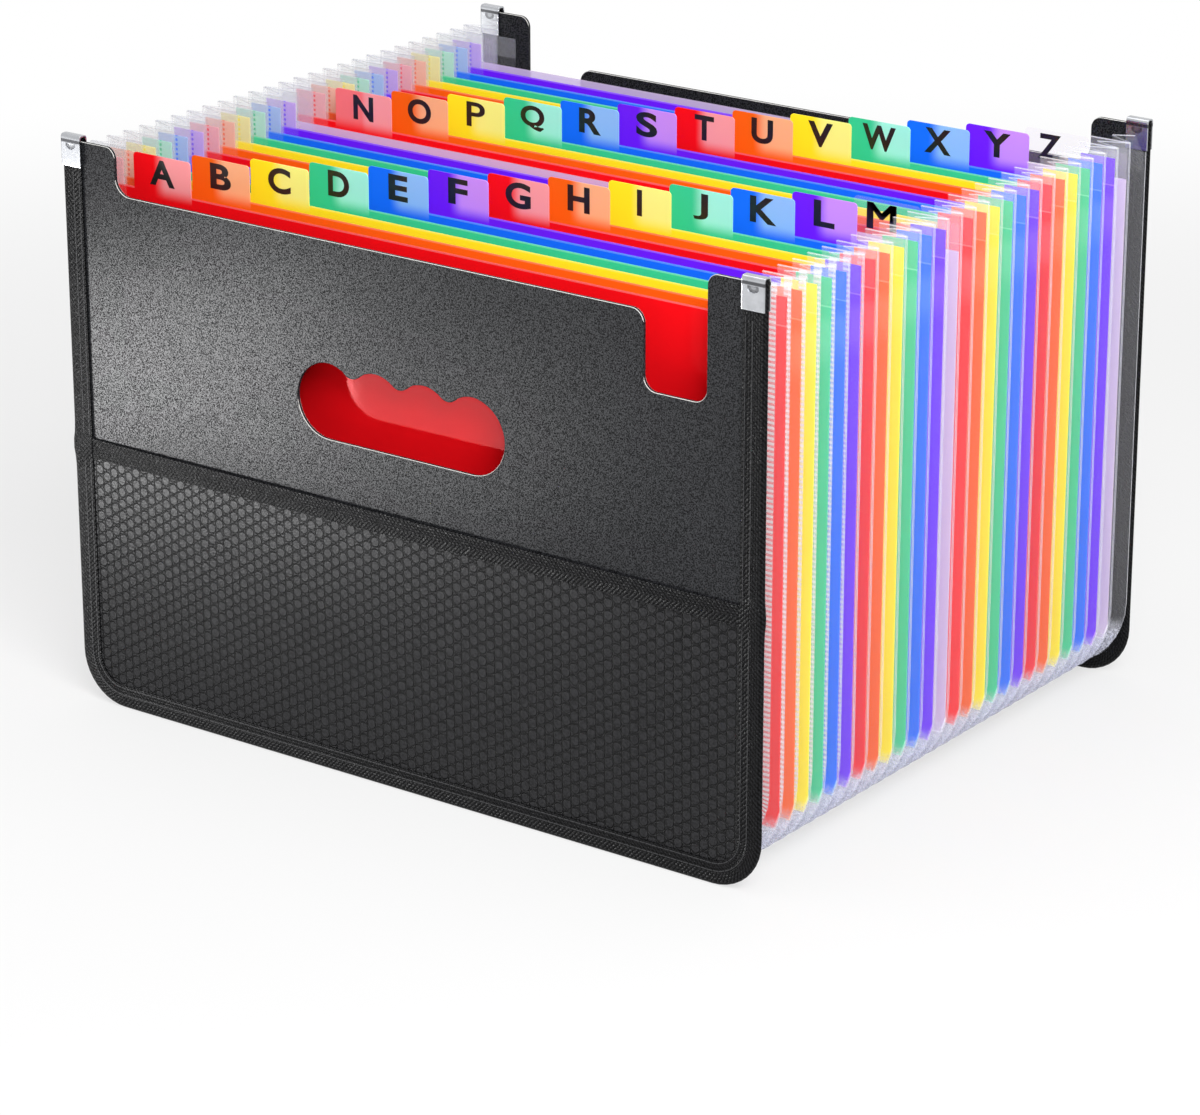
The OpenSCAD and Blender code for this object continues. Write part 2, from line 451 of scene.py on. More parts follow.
def leaf_plastic(k):
    """Glossy sheet with pale edges at its foot and cut corners. Its colour carries a painted highlight line
    under the top edge, a painted highlight over the right half of its tab and a painted lighter band below
    the top; its left ear is frosted and painted lighter.
    """
    tinted = k not in CLEAR_LEAVES
    name, deep, pale = LEAF_TONES[(k - 1 if k < CLEAR_LEAVES[0] else k - 2) % len(LEAF_TONES)]
    f = Finish(f"leaf_{k:02d}_{name if tinted else 'clear'}")
    here = f.place()
    x, _, z = f.axes(here)
    satin = f.noise(here, 6)
    f.set(Roughness=0.04 + satin * 0.04)
    f.shader.inputs["Specular IOR Level"].default_value = 0.14 if k > 1 else 0.2
    if k == 1:
        f.shader.inputs["Specular Tint"].default_value = (1, 0.06, 0.08, 1)
    above = z.ramp(LEAF_TOP - 0.2, LEAF_TOP + 0.2)
    foot_rim = z.ramp(LEAF_FOOT + 0.6, LEAF_FOOT + 0.35)
    past_cut = abs(x) - (LEAF_HALF_W - LEAF_CUT_IN)
    cut_corner = past_cut * LEAF_CUT_WAY[0] - (z - LEAF_FOOT) * LEAF_CUT_WAY[1]
    rim = foot_rim.most(cut_corner.ramp(-0.6, -0.35))
    if not tinted:
        in_margin = abs(x).ramp(FILM_W / 2 - WELD_W - 2, FILM_W / 2 - WELD_W + 2)
        f.set(
            Base_Color=f.blend(rim * 0.7, CLEAR_TONE, linear(246, 244, 250)),
            Alpha=0.07 + (0.5 + in_margin * 0.14) * (1 - above) + rim * 0.3,
        )
        return f.material
    on_tab = z.ramp(LEAF_TOP - 3.5, LEAF_TOP + 3)
    tab_left = tab_x(k) - TAB_W / 2
    tab_right = tab_x(k) + TAB_W / 2
    off_middle = abs(x - tab_x(k))
    in_tab = (x - tab_left) / TAB_W
    # Painted highlight: the right half of the tab is painted paler. Milky tabs are paler over their whole
    # tab.
    glow = in_tab.ramp(0.34, 0.58) * on_tab * (x - tab_right).ramp(0.6, 0.1)
    if k in MILKY_TABS:
        glow = glow.most(0.55 * on_tab * off_middle.ramp(TAB_W / 2 + 0.5, TAB_W / 2))
    # Painted light: a lighter band a few millimetres below the top.
    painted_band_light = z.ramp(LEAF_TOP - 2, LEAF_TOP - 9) * z.ramp(LEAF_TOP - 26, LEAF_TOP - 14)
    painted_band_light = painted_band_light * (0.16 if k > 1 else 0)
    off_tab = off_middle.ramp(TAB_W / 2 - 0.3, TAB_W / 2 + 0.3)
    # Painted highlight: a thin pale line just under the top edge, beside the tabs.
    edge = z.ramp(LEAF_TOP - 0.7, LEAF_TOP - 0.4) * (1 - above) * off_tab * 0.35
    left_ear = x.ramp(0.9 - EAR_X, 0.5 - EAR_X) * above
    step = abs((z / SPOT_PITCH).part() - 0.5)
    spots = abs(x - EAR_SPOTS_X).ramp(0.62, 0.44) * step.ramp(0.3, 0.24)
    # The left ear is paler: frosted plastic, and painted light that lifts it towards white.
    ear_frost_and_painted_light = left_ear * 0.75 * (1 - spots)
    fade = (glow * 0.9).most(painted_band_light).most(edge).most(ear_frost_and_painted_light).most(rim * 0.75)
    colour = f.blend(ear_frost_and_painted_light * 0.5, f.blend(fade, deep, pale), linear(255, 250, 252))
    f.set(Base_Color=colour, Alpha=1 - left_ear * 0.15 * (1 - spots) - glow * 0.1)
    through = f.node("ShaderNodeBsdfTranslucent", None, {"Color": colour})
    body = Wire(f, f.shader.outputs[0])
    both = f.node("ShaderNodeMixShader", None, {0: 0.3 + left_ear * 0.2, 1: body, 2: through})
    f.tree.links.new(both.socket, f.out.inputs["Surface"])
    return f.material


def clear_film():
    """Thin clear film: milky at its folded edges, with rows of weld spots on the front flanges."""
    f = Finish("accordion_film")
    here = f.place()
    along, across, _ = f.axes(f.way())
    x, y, z = f.axes(here)
    step = abs((along / SPOT_PITCH).part() - 0.5)

    def row(half, tall):
        beside = abs(across - SPOT_ROW).ramp(half + 0.15, half - 0.15)
        return beside * step.ramp(tall + 0.07, tall - 0.07)

    high = z.ramp(14, 40)
    above = z.ramp(LEAF_TOP - 0.5, LEAF_TOP + 0.5)
    left = x.ramp(-100, -120)
    ahead = y.ramp(-40, -90) * (1 - above * left)
    ladder = row(1.6, 0.25) * ahead
    milk = abs(across - SPOT_ROW).ramp(1.9, 1.6) * ahead
    fold = abs(across).ramp(0.24, 0.08) * (0.12 + high * 0.22)
    lip = z.ramp(FILM_TOP - 0.55, FILM_TOP - 0.3)
    ear = above * across.ramp(1.2, 1.6) * (0.02 + left * 0.08)
    speck = f.noise(here, 1.1).ramp(0.5, 0.66)
    foot = z.ramp(27, 17)
    line = fold.most(ladder * 0.52).most(milk * 0.2).most(lip * 0.25)
    veil = line.most(0.024 + ear + foot * (0.16 + speck * 0.3))
    body = f.blend(left * above, linear(244, 245, 250), linear(206, 207, 214))
    tint = f.blend(z.ramp(30, 14), body, linear(222, 224, 240))
    return f.set(Base_Color=tint, Roughness=0.12, Alpha=veil).material


def printed_ink():
    f = Finish("printed_ink")
    sheen = f.noise(f.place(), 3)
    return f.set(
        Base_Color=f.blend(sheen, linear(10, 10, 11), linear(34, 33, 34)),
        Roughness=0.3,
    ).material


# Modelling helpers

def only(piece):
    bpy.ops.object.select_all(action="DESELECT")
    piece.select_set(True)
    bpy.context.view_layer.objects.active = piece


def edit(piece, kind="VERT"):
    only(piece)
    bpy.ops.object.mode_set(mode="EDIT")
    bpy.ops.mesh.select_mode(type=kind)


def done():
    bpy.ops.object.mode_set(mode="OBJECT")


def turn_faces_out(piece):
    edit(piece)
    bpy.ops.mesh.select_all(action="SELECT")
    bpy.ops.mesh.normals_make_consistent(inside=False)
    done()


def pick_faces(piece, test):
    """Selects the faces whose middle, in millimetres, passes the test."""
    bpy.ops.mesh.select_all(action="DESELECT")
    mesh = bmesh.from_edit_mesh(piece.data)
    for face in mesh.faces:
        middle = sum((v.co for v in face.verts), Vector()) / len(face.verts)
        if test(middle / MM):
            face.select_set(True)
    bmesh.update_edit_mesh(piece.data)


def apply(piece, kind, **settings):
    only(piece)
    made = piece.modifiers.new(kind.lower(), kind)
    for name, value in settings.items():
        setattr(made, name, value)
    bpy.ops.object.modifier_apply(modifier=made.name)


def wire_of(name, points):
    """A single vertex, pulled from point to point into an open wire. Points are in millimetres."""
    bpy.ops.mesh.primitive_plane_add(size=MM)
    piece = bpy.context.object
    piece.name = name
    edit(piece)
    bpy.ops.mesh.select_all(action="SELECT")
    bpy.ops.mesh.merge(type="CENTER")
    bpy.ops.transform.translate(value=Vector(points[0]) * MM)
    for here, there in zip(points, points[1:]):
        step = (Vector(there) - Vector(here)) * MM
        bpy.ops.mesh.extrude_vertices_move(TRANSFORM_OT_translate={"value": step})
    bpy.ops.mesh.select_all(action="SELECT")
    return piece


def pull(x, z, steps):
    for _ in range(steps):
        bpy.ops.mesh.extrude_region_move(
            TRANSFORM_OT_translate={"value": Vector((x, 0, z)) * (MM / steps)}
        )


def sweep_round(half_w, top, foot, radius, side_steps, bend_steps, foot_steps):
    """Pulls the selected wire down the left side, round the corners and up the right side."""
    bend_x = half_w - radius
    bend_z = foot + radius
    pull(0, bend_z - top, side_steps)
    bpy.ops.mesh.spin(
        steps=bend_steps, angle=math.pi / 2, center=Vector((-bend_x, 0, bend_z)) * MM, axis=(0, 1, 0)
    )
    pull(2 * bend_x, 0, foot_steps)
    bpy.ops.mesh.spin(
        steps=bend_steps, angle=math.pi / 2, center=Vector((bend_x, 0, bend_z)) * MM, axis=(0, 1, 0)
    )
    pull(0, top - bend_z, side_steps)


def way_round(x, z, half_w, foot, radius):
    """How far a point is along the bound outline, and how far inside it."""
    bend_x = half_w - radius
    out_x = abs(x) - bend_x
    down = foot + radius - z
    if out_x <= 0:
        along, inside = abs(x), z - foot
    elif down <= 0:
        along, inside = bend_x + radius * math.pi / 2 - down, half_w - abs(x)
    else:
        along = bend_x + radius * math.atan2(out_x, down)
        inside = radius - math.hypot(out_x, down)
    return math.copysign(along, x), inside


def set_map(piece, ways):
    """Makes the piece's only map, from a place in millimetres for each vertex."""
    mesh = piece.data
    while mesh.uv_layers:
        mesh.uv_layers.remove(mesh.uv_layers[0])
    layer = mesh.uv_layers.new(name="Way")
    for loop in mesh.loops:
        layer.data[loop.index].uv = Vector(ways[loop.vertex_index]) * MM


def map_way(piece, half_w, foot, radius, rail):
    """Gives a swept piece its own map. rail lists (inside, y, across) for each point of the section."""
    mesh = piece.data
    ways = []
    for v in mesh.vertices:
        x, y, z = v.co / MM
        along, inside = way_round(x, z, half_w, foot, radius)
        near = min(rail, key=lambda r: (r[0] - inside) ** 2 + (r[1] - y) ** 2)
        ways.append((along, near[2]))
    set_map(piece, ways)


def finish_piece(piece, name, material, body=None, angle=40):
    piece.name = name
    piece.data.name = name
    piece.data.materials.clear()
    for m in material if isinstance(material, list) else [material]:
        piece.data.materials.append(m)
    only(piece)
    bpy.ops.object.shade_smooth_by_angle(angle=math.radians(angle))
    if body:
        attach(piece, body)
    return piece


def twin(piece, name, matrix):
    """A copy with its own mesh, moved in its mesh."""
    copy = piece.copy()
    copy.data = piece.data.copy()
    bpy.context.scene.collection.objects.link(copy)
    copy.data.transform(matrix)
    copy.name = name
    return copy


HALF_TURN = Matrix.Rotation(math.pi, 4, "Z")


# Camera

bpy.ops.object.camera_add(
    location=CAMERA_PLACE, rotation=(math.pi / 2 - CAMERA_PITCH, 0, CAMERA_TURN)
)
camera = bpy.context.object
camera.data.lens = CAMERA_LENS
camera.data.clip_start = 0.05
bpy.context.scene.camera = camera

# Shared finishes
BOARD = board_plastic()
EDGE_HIGHLIGHT = painted_edge_highlight()
TAPE = woven_tape()
CLOTH = pocket_cloth()
THREAD = sewing_thread()
NICKEL = nickel()
FILM = clear_film()
INK = printed_ink()


# Cover boards: the solid with its cut edges eased

def dress_board(node, body):
    source = frame["nodes"][node]
    piece = source.copy()
    piece.data = source.data.copy()
    piece.parent = None
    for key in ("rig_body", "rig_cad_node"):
        del piece[key]
    bpy.context.scene.collection.objects.link(piece)
    edit(piece)
    bpy.ops.mesh.select_all(action="SELECT")
    bpy.ops.mesh.remove_doubles(threshold=0.002 * MM)
    bpy.ops.mesh.dissolve_limited(angle_limit=math.radians(1))
    done()
    apply(
        piece, "BEVEL", width=EDGE_EASE * MM, segments=2, limit_method="ANGLE",
        angle_limit=math.radians(50),
    )
    finish_piece(piece, node + "_board", [BOARD, EDGE_HIGHLIGHT], angle=20)
    # The eased faces that face upward take the pale painted highlight; all other faces stay board.
    for face in piece.data.polygons:
        eased = 0.2 < abs(face.normal.y) < 0.97
        face.material_index = 1 if eased and face.normal.z > 0.1 else 0
    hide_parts(node)
    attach(piece, body)


dress_board("front_panel", "front_cover")
dress_board("back_panel", "back_cover")


# Edge tape: a rounded section of folded tape, swept round three sides of a cover

TAPE_FRONT = [
    (TAPE_W, 0), (TAPE_W - 0.25, 0), (7, 0), (4.2, 0), (1.9, 0), (1.1, 0.09), (0.45, 0.42), (0.1, 0.9),
]
TAPE_BACK = [(inside, COVER_T - y) for inside, y in reversed(TAPE_FRONT)]
TAPE_SECTION = TAPE_FRONT + [(0, COVER_T / 2)] + TAPE_BACK


def tape_piece(swollen):
    """The front cover's tape. Where swollen, it bulges over the pocket's hem."""
    half_w = COVER_W / 2
    start = [(-half_w + d, FRONT_Y + y, EAR_TOP) for d, y in TAPE_SECTION]
    piece = wire_of("tape", start)
    sweep_round(half_w, EAR_TOP, 0, CORNER_R, *TAPE_STEPS)
    done()
    run, rail = 0, []
    for (d0, y0), (d1, y1) in zip([TAPE_SECTION[0]] + TAPE_SECTION, TAPE_SECTION):
        run += math.hypot(d1 - d0, y1 - y0)
        rail.append((d1, FRONT_Y + y1, TAPE_W - run))
    map_way(piece, half_w, 0, CORNER_R, rail)
    if swollen:
        for v in piece.data.vertices:
            x, y, z = v.co / MM
            near = math.exp(-((z - POCKET_TOP + HEM_H / 2) / SWELL_REACH) ** 2)
            if abs(x) > half_w - TAPE_W - 1:
                front = max(0.0, min(1.0, (FRONT_Y + COVER_T - y) / COVER_T))
                edge = max(0, 1 - (half_w - abs(x)) / SWELL_IN)
                v.co.x += math.copysign(SWELL_SIDE, x) * MM * near * edge
                v.co.y -= SWELL_FRONT * MM * near * front ** 2
    turn_faces_out(piece)
    apply(piece, "SOLIDIFY", thickness=TAPE_T * MM, offset=-1, use_even_offset=True)
    return piece


front_tape = finish_piece(tape_piece(True), "front_binding_tape", TAPE, "front_cover")
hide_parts("front_binding")
back_tape = tape_piece(False)
back_tape.data.transform(HALF_TURN)
finish_piece(back_tape, "back_binding_tape", TAPE, "back_cover")
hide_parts("back_binding")


# Front pocket: a slightly crowned panel of cloth and the tape that binds its top

def held_at_sides(x):
    """1 in the middle of the pocket, falling to 0 where the side tapes hold it."""
    return max(0.0, 1 - (abs(x) / (CLOTH_HALF_W - TUCK)) ** 6)


def pocket_panel():
    high = CLOTH_TOP - CLOTH_FOOT
    bpy.ops.mesh.primitive_grid_add(x_subdivisions=90, y_subdivisions=32, size=1)
    piece = bpy.context.object
    edit(piece)
    bpy.ops.mesh.select_all(action="SELECT")
    bpy.ops.transform.resize(value=(2 * CLOTH_HALF_W * MM, high * MM, 1))
    bpy.ops.transform.rotate(value=math.pi / 2, orient_axis="X", center_override=(0, 0, 0))
    middle = Vector((0, FRONT_Y + TAPE_T + FABRIC_T / 2, (CLOTH_TOP + CLOTH_FOOT) / 2))
    bpy.ops.transform.translate(value=middle * MM)
    done()
    for v in piece.data.vertices:
        x, _, z = v.co / MM
        up = min(1, max(0, (z - CLOTH_FOOT - TUCK) / (high - TUCK)))
        slack = SLACK * math.sin(x / SLACK_WAVES[0]) * math.sin(z / SLACK_WAVES[1])
        v.co.y -= (POCKET_CROWN * math.sin(CROWN_ARC * up) + slack) * held_at_sides(x) * MM
    turn_faces_out(piece)
    apply(piece, "SOLIDIFY", thickness=FABRIC_T * MM, offset=0)
    return finish_piece(piece, "front_pocket_cloth", CLOTH, "front_cover")


def crown_at(x):
    """How far the pocket's top stands off the board."""
    return POCKET_CROWN * held_at_sides(x) * math.sin(CROWN_ARC)


HEM_SECTION = [
    (-0.06, 0), (-0.02, 0.3), (0, 1.5), (0, 4), (0, 6.5), (0.02, 7.6), (0.2, 8.05), (0.55, 8.2),
    (0.9, 8.05), (1.0, 7.6), (1.02, 5.5), (1.02, 3),
]


def pocket_hem():
    low = POCKET_TOP - HEM_H
    start = [(-CLOTH_HALF_W, FRONT_Y - HEM_T + y, low + z) for y, z in HEM_SECTION]
    piece = wire_of("hem", start)
    pull(2 * CLOTH_HALF_W, 0, 90)
    done()
    ways = []
    for v in piece.data.vertices:
        x, _, z = v.co / MM
        ways.append((x, POCKET_TOP - z))
        v.co.y -= (crown_at(x) - HEM_SINK) * MM
    set_map(piece, ways)
    turn_faces_out(piece)
    apply(piece, "SOLIDIFY", thickness=HEM_T * MM, offset=-1)
    return finish_piece(piece, "front_pocket_hem", TAPE, "front_cover")


pocket = pocket_panel()
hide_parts("front_pocket")
hem = pocket_hem()
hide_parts("front_pocket")


# Stitches: one short thread, repeated along a guide curve

def guide(name, points):
    """A poly curve through points in millimetres, for stitches to follow."""
    curve = bpy.data.curves.new(name, "CURVE")
    curve.dimensions = "3D"
    line = curve.splines.new("POLY")
    line.points.add(len(points) - 1)
    for spot, p in zip(line.points, points):
        spot.co = (*(Vector(p) * MM), 1)
    made = bpy.data.objects.new(name, curve)
    bpy.context.scene.collection.objects.link(made)
    return made


def round_line(inside, y, top):
    """Points along the bound outline at one distance inside it."""
    side_steps, bend_steps = 40, 12
    half_w = COVER_W / 2
    bend_x = half_w - CORNER_R
    r = CORNER_R - inside
    turns = [math.pi / 2 * i / bend_steps for i in range(1, bend_steps + 1)]
    shares = [i / side_steps for i in range(1, side_steps + 1)]
    points = [(inside - half_w, y, top)]
    points += [(inside - half_w, y, top + (CORNER_R - top) * s) for s in shares]
    points += [(-bend_x - r * math.cos(a), y, CORNER_R - r * math.sin(a)) for a in turns]
    points += [(-bend_x + 2 * bend_x * s, y, inside) for s in shares]
    points += [(bend_x + r * math.sin(a), y, CORNER_R - r * math.cos(a)) for a in turns]
    points += [(half_w - inside, y, CORNER_R + (top - CORNER_R) * s) for s in shares]
    return points


def one_stitch():
    """A short thread that dips into the cloth at both ends."""
    bpy.ops.mesh.primitive_cylinder_add(
        vertices=6, radius=STITCH_THICK / 2 * MM, depth=STITCH_L * MM, rotation=(0, math.pi / 2, 0)
    )
    piece = bpy.context.object
    bpy.ops.object.transform_apply(rotation=True)
    edit(piece, "FACE")
    for end in (-1, 1):
        pick_faces(piece, lambda m: m.x * end > STITCH_L / 2 - 0.01)
        bpy.ops.mesh.extrude_region_move(
            TRANSFORM_OT_translate={"value": (end * 0.2 * MM, 0, 0)}
        )
        bpy.ops.transform.resize(value=(1, 0.45, 0.45))
    bpy.ops.mesh.select_all(action="SELECT")
    bpy.ops.transform.resize(value=(1, 1, 0.75))
    done()
    piece.name = "stitch"
    return piece


def length_of(points):
    return sum((Vector(b) - Vector(a)).length for a, b in zip(points, points[1:]))


def seam(name, points, body):
    """Stitches along points, on the piece that carries them."""
    piece = one_stitch()
    piece.data.transform(Matrix.Translation((STITCH_L / 2 * MM, 0, 0)))
    count = int(length_of(points) / STITCH_PITCH)
    apply(
        piece, "ARRAY", count=count, use_relative_offset=False, use_constant_offset=True,
        constant_offset_displace=(STITCH_PITCH * MM, 0, 0),
    )
    path = guide(name + "_guide", points)
    apply(piece, "CURVE", object=path, deform_axis="POS_X")
    bpy.data.objects.remove(path)
    return finish_piece(piece, name, THREAD, body)


FACES = {"outer": FRONT_Y - SEAM_LIFT, "inner": -INNER_HALF + SEAM_LIFT}
SEAM_TOP = EAR_TOP - CLIP_H - 1
for side_name, face_y in FACES.items():
    for line_name, inside in SEAM_LINES.items():
        points = round_line(inside, face_y, SEAM_TOP)
        front = seam(f"front_seam_{side_name}_{line_name}", points, "front_cover")
        back = twin(front, f"back_seam_{side_name}_{line_name}", HALF_TURN)
        back.parent = None
        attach(back, "back_cover")


# End clips

def clip_piece(name, side):
    """Sheet metal bent over the end of the tape, with a punched dimple."""
    top = EAR_TOP + CLIP_T
    y0 = FRONT_Y - CLIP_T
    y1 = FRONT_Y + COVER_T + CLIP_T
    r = CLIP_BEND
    x0 = COVER_W / 2 - CLIP_INSET - CLIP_W if side > 0 else CLIP_INSET - COVER_W / 2
    section = [(y0, top - CLIP_H)]
    for i in range(1, CLIP_STEPS + 1):
        section.append((y0, top - CLIP_H + (CLIP_H - r) * i / CLIP_STEPS))
    for i in range(1, CLIP_BEND_STEPS + 1):
        a = math.pi / 2 * i / CLIP_BEND_STEPS
        section.append((y0 + r - r * math.cos(a), top - r + r * math.sin(a)))
    section += [(y0 + y1 - y, z) for y, z in reversed(section)]
    piece = wire_of(name, [(x0, y, z) for y, z in section])
    pull(CLIP_W, 0, CLIP_STEPS)
    bpy.ops.mesh.select_mode(type="FACE")

    def in_dimple(m):
        across = (abs(m.x) - PUNCH_X) / PUNCH_HALF_W
        up = (m.z - PUNCH_Z) / PUNCH_DROP
        return abs(m.y - y0) < 0.01 and up < 0.25 and math.hypot(across, up) < 1

    pick_faces(piece, in_dimple)
    bpy.ops.mesh.inset(thickness=PUNCH_WALL * MM)
    bpy.ops.transform.translate(value=(0, PUNCH_DEPTH * MM, 0))
    done()
    turn_faces_out(piece)
    apply(piece, "SOLIDIFY", thickness=CLIP_T * MM, offset=-1)
    apply(
        piece, "BEVEL", width=CLIP_EASE * MM, segments=2, limit_method="ANGLE",
        angle_limit=math.radians(80),
    )
    return piece


for word, side in (("left", -1), ("right", 1)):
    clip = finish_piece(clip_piece(f"front_clip_{word}", side), f"front_clip_{word}", NICKEL)
    back_clip = twin(clip, f"back_clip_{word}", HALF_TURN)
    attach(clip, "front_cover")
    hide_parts("front_clips")
    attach(back_clip, "back_cover")
    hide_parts("back_clips")


# Index leaves keep their solids; each takes its own plastic and a printed letter

for k in range(1, LEAF_COUNT + 1):
    sheet = frame["nodes"][f"leaf_{k:02d}"]
    sheet.data.materials.clear()
    sheet.data.materials.append(leaf_plastic(k))


LETTER_WIDTHS = {
    0.23: "I", 0.66: "J", 0.92: "EFLPTZ", 1.02: "BDHNRSU", 1.1: "CKVXY", 1.18: "AGMOQ", 1.5: "W",
}
LETTER_SHIFT = {"M": -2.0, "Z": -3.2}
GROWTH_SHARE = {"J": 0.4, "P": 0.4, "M": 0.6}


def letter(k):
    """One bold capital, printed on the tab. M fills in if its strokes grow, so copies thicken it."""
    sign = chr(ord("A") + k - 1)
    share = next(w for w, signs in LETTER_WIDTHS.items() if sign in signs)
    bpy.ops.object.text_add()
    words = bpy.context.object.data
    words.body = sign
    words.size = LETTER_H * FONT_SCALE * MM
    words.extrude = INK_T / 2 * MM
    words.resolution_u = 6
    bpy.context.view_layer.update()
    corners = [Vector(c) for c in bpy.context.object.bound_box]
    low = Vector(min(c[i] for c in corners) for i in range(3))
    high = Vector(max(c[i] for c in corners) for i in range(3))
    growth = STROKE_GROWTH * GROWTH_SHARE.get(sign, 1) * LETTER_H * MM
    words.offset = 0 if sign == "M" else growth
    size = high - low + Vector((2, 2, 0)) * words.offset
    bpy.ops.object.convert(target="MESH")
    piece = bpy.context.object
    if sign == "M":
        edit(piece)
        for step in (growth, -2 * growth):
            bpy.ops.mesh.select_all(action="SELECT")
            bpy.ops.mesh.duplicate_move(TRANSFORM_OT_translate={"value": (step, 0, 0)})
        done()
    tall = LETTER_H * MM / size.y
    wide = share * LETTER_H * MM / size.x
    y = leaf_y(k) - LEAF_T / 2 - INK_T / 2 - INK_GAP
    piece.data.transform(
        Matrix.Translation(Vector((tab_x(k) + LETTER_SHIFT.get(sign, 0), y, LETTER_MID)) * MM)
        @ Matrix.Rotation(math.pi / 2, 4, "X")
        @ Matrix.Diagonal((wide, tall, 1, 1))
        @ Matrix.Translation(-(low + high) / 2)
    )
    finish_piece(piece, f"letter_{sign}", INK, leaf_body(k))


for k in range(1, LEAF_COUNT + 1):
    letter(k)


# Accordion film: welded flanges and an inward fold, swept round a pocket

def film_section(gap):
    """Half a section as (inside, off the sheet, across), then its mirror behind."""
    half = gap / 2
    lift = FILM_OFFSET + 0.1
    flange = (WELD_W, 13.4, 10.2, SPOT_ROW, 4, FLANGE_RIM, 0.35)
    front = [(inside, FILM_OFFSET, inside) for inside in flange] + [(0.08, lift, 0)]
    for t in (0.12, 0.35, 0.6, 0.85, 0.97):
        bow = 0.3 * math.sin(math.pi * t)
        front.append((FOLD_D * t, lift + (half - lift) * t - bow, -FOLD_L * t))
    back = [(inside, gap - off, across) for inside, off, across in reversed(front)]
    return front + [(FOLD_D, half, -FOLD_L - 0.3)] + back


def film_piece(name, start, gap):
    """A gusset's film. Its flanges widen from the sides to the foot."""
    half_w = FILM_W / 2
    rail = [(inside, start + off, across) for inside, off, across in film_section(gap)]
    piece = wire_of(name, [(inside - half_w, y, FILM_TOP) for inside, y, _ in rail])
    sweep_round(half_w, FILM_TOP, FILM_FOOT, FILM_R, *FILM_STEPS)
    done()
    map_way(piece, half_w, FILM_FOOT, FILM_R, rail)
    bend_x = half_w - FILM_R
    bend_z = FILM_FOOT + FILM_R
    for v in piece.data.vertices:
        x, y, z = v.co / MM
        _, inside = way_round(x, z, half_w, FILM_FOOT, FILM_R)
        off = min(y - start, start + gap - y)
        if inside > FLANGE_RIM and off < FILM_OFFSET + 0.05:
            out_x = max(0, abs(x) - bend_x)
            down = max(0, bend_z - z)
            turn = math.atan2(down, max(1e-6, out_x)) / (math.pi / 2)
            grow = (WELD_H - WELD_W) * turn * (inside - FLANGE_RIM) / (WELD_W - FLANGE_RIM)
            way = Vector((math.copysign(out_x, -x), 0, down))
            v.co += way.normalized() * grow * MM
    turn_faces_out(piece)
    apply(piece, "SOLIDIFY", thickness=FILM_T * MM, offset=0)
    return finish_piece(piece, name, FILM, angle=60)


def gusset_span(k):
    start = -INNER_HALF if k == 1 else leaf_y(k - 1) + LEAF_T / 2
    end = INNER_HALF if k == LEAF_COUNT + 1 else leaf_y(k) - LEAF_T / 2
    return start, end


def hang(piece, k):
    """Hides the gusset's solid and bakes the film's place into its mesh."""
    start, end = gusset_span(k)
    behind = "back_cover" if k == LEAF_COUNT + 1 else leaf_body(k)
    ahead = "front_cover" if k == 1 else leaf_body(k - 1)
    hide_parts(f"gusset_{k:02d}")
    (end - 2 * FILM_OFFSET) * MM
    (start + 2 * FILM_OFFSET) * MM
    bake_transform(piece)


first, last = gusset_span(1), gusset_span(LEAF_COUNT + 1)
end_film = film_piece("film_01", first[0], first[1] - first[0])
shift = Matrix.Translation((0, (last[0] - first[0]) * MM, 0))
far_film = twin(end_film, f"film_{LEAF_COUNT + 1:02d}", shift)
# On the covers these two stop under the clips
for piece, cover_y in ((end_film, -INNER_HALF), (far_film, INNER_HALF)):
    for v in piece.data.vertices:
        if abs(v.co.y - cover_y * MM) < END_FILM_DEEP * MM:
            v.co.z = min(v.co.z, END_FILM_TOP * MM)
second = gusset_span(2)
middle_film = film_piece("film_02", second[0], second[1] - second[0])
films = {1: end_film, 2: middle_film, LEAF_COUNT + 1: far_film}
for k in range(3, LEAF_COUNT + 1):
    shift = Matrix.Translation((0, (k - 2) * LEAF_PITCH * MM, 0))
    films[k] = twin(middle_film, f"film_{k:02d}", shift)
for k, piece in films.items():
    hang(piece, k)


# Floor, background and lamps

def path_share(tree):
    """1 for rays that look at the background, by sight, in a mirror or through glass."""
    rays = tree.nodes.new("ShaderNodeLightPath")
    total = rays.outputs["Is Camera Ray"]
    for word in ("Is Glossy Ray", "Is Transmission Ray"):
        most = tree.nodes.new("ShaderNodeMath")
        most.operation = "MAXIMUM"
        tree.links.new(total, most.inputs[0])
        tree.links.new(rays.outputs[word], most.inputs[1])
        total = most.outputs[0]
    return total


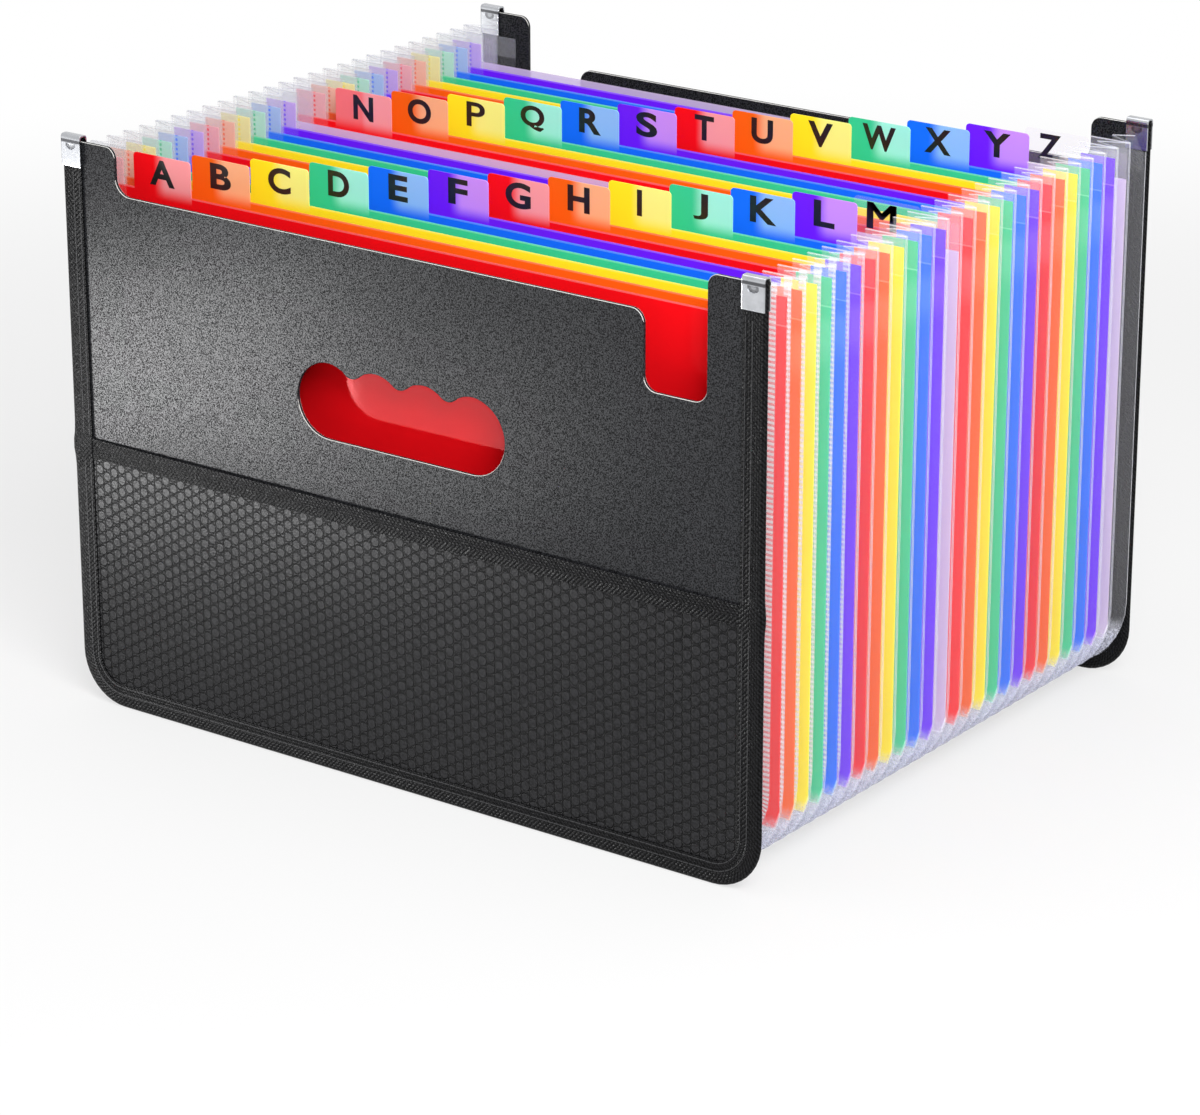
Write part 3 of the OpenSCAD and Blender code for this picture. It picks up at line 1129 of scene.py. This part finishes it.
world = bpy.data.worlds.new("studio")
bpy.context.scene.world = world
world.use_nodes = True
sky = world.node_tree
sky.nodes.clear()
seen = sky.nodes.new("ShaderNodeBackground")
seen.inputs["Color"].default_value = (1, 1, 1, 1)
shed = sky.nodes.new("ShaderNodeBackground")
shed.inputs["Color"].default_value = (1, 1, 1, 1)
shed.inputs["Strength"].default_value = SKY_LIGHT
pick_sky = sky.nodes.new("ShaderNodeMixShader")
sky_out = sky.nodes.new("ShaderNodeOutputWorld")
sky.links.new(path_share(sky), pick_sky.inputs[0])
sky.links.new(shed.outputs[0], pick_sky.inputs[1])
sky.links.new(seen.outputs[0], pick_sky.inputs[2])
sky.links.new(pick_sky.outputs[0], sky_out.inputs["Surface"])

bpy.ops.mesh.primitive_plane_add(size=12, location=(0, 0, -0.05 * MM))
floor = bpy.context.object
floor.name = "floor"
ground = Finish("pale_floor")
ground.set(Base_Color=(0.6, 0.6, 0.6, 1.0), Roughness=0.8)
glow = ground.node("ShaderNodeEmission", None, {"Color": (1, 1, 1, 1), "Strength": 1.0})
lit = Wire(ground, ground.shader.outputs[0])
spot = ground.axes(ground.place())
away = (spot[0] * spot[0] + spot[1] * spot[1]).ramp(FLOOR_NEAR ** 2, FLOOR_FAR ** 2)
share = Wire(ground, path_share(ground.tree)) * (FLOOR_SHARE + away * (1 - FLOOR_SHARE))
mixed = ground.node("ShaderNodeMixShader", None, {0: share, 1: lit, 2: glow})
ground.tree.links.new(mixed.socket, ground.out.inputs["Surface"])
floor.data.materials.append(ground.material)


def lamp(name, place, aim, width, height, power, sheen_only=False):
    """A softbox that isn't seen itself. One for sheen alone leaves plain colours as they are."""
    bpy.ops.object.light_add(type="AREA", location=place)
    made = bpy.context.object
    made.name = name
    made.data.shape = "RECTANGLE"
    made.data.size = width
    made.data.size_y = height
    made.data.energy = power
    made.visible_camera = False
    made.visible_diffuse = not sheen_only
    made.rotation_euler = (Vector(aim) - Vector(place)).to_track_quat("-Z", "Y").to_euler()


lamp("main_softbox", (1.0, -0.8, 1.1), (0.05, -0.05, 0.1), 0.8, 0.8, 34.0)
lamp("overhead_softbox", (-0.2, -0.1, 1.9), (0, 0, 0.1), 1.6, 1.6, 13.0)
lamp("low_left_panel", (-0.318, -0.336, 0.056), (-0.13, -0.134, 0.13), 0.16, 0.09, 1.6, sheen_only=True)
lamp("hand_hole_card", (-0.155, -0.336, 0.05), (0, -0.118, 0.15), 0.13, 0.06, 0.28, sheen_only=True)

bpy.context.scene.view_settings.view_transform = "Standard"
bpy.context.scene.cycles.transparent_max_bounces = 48
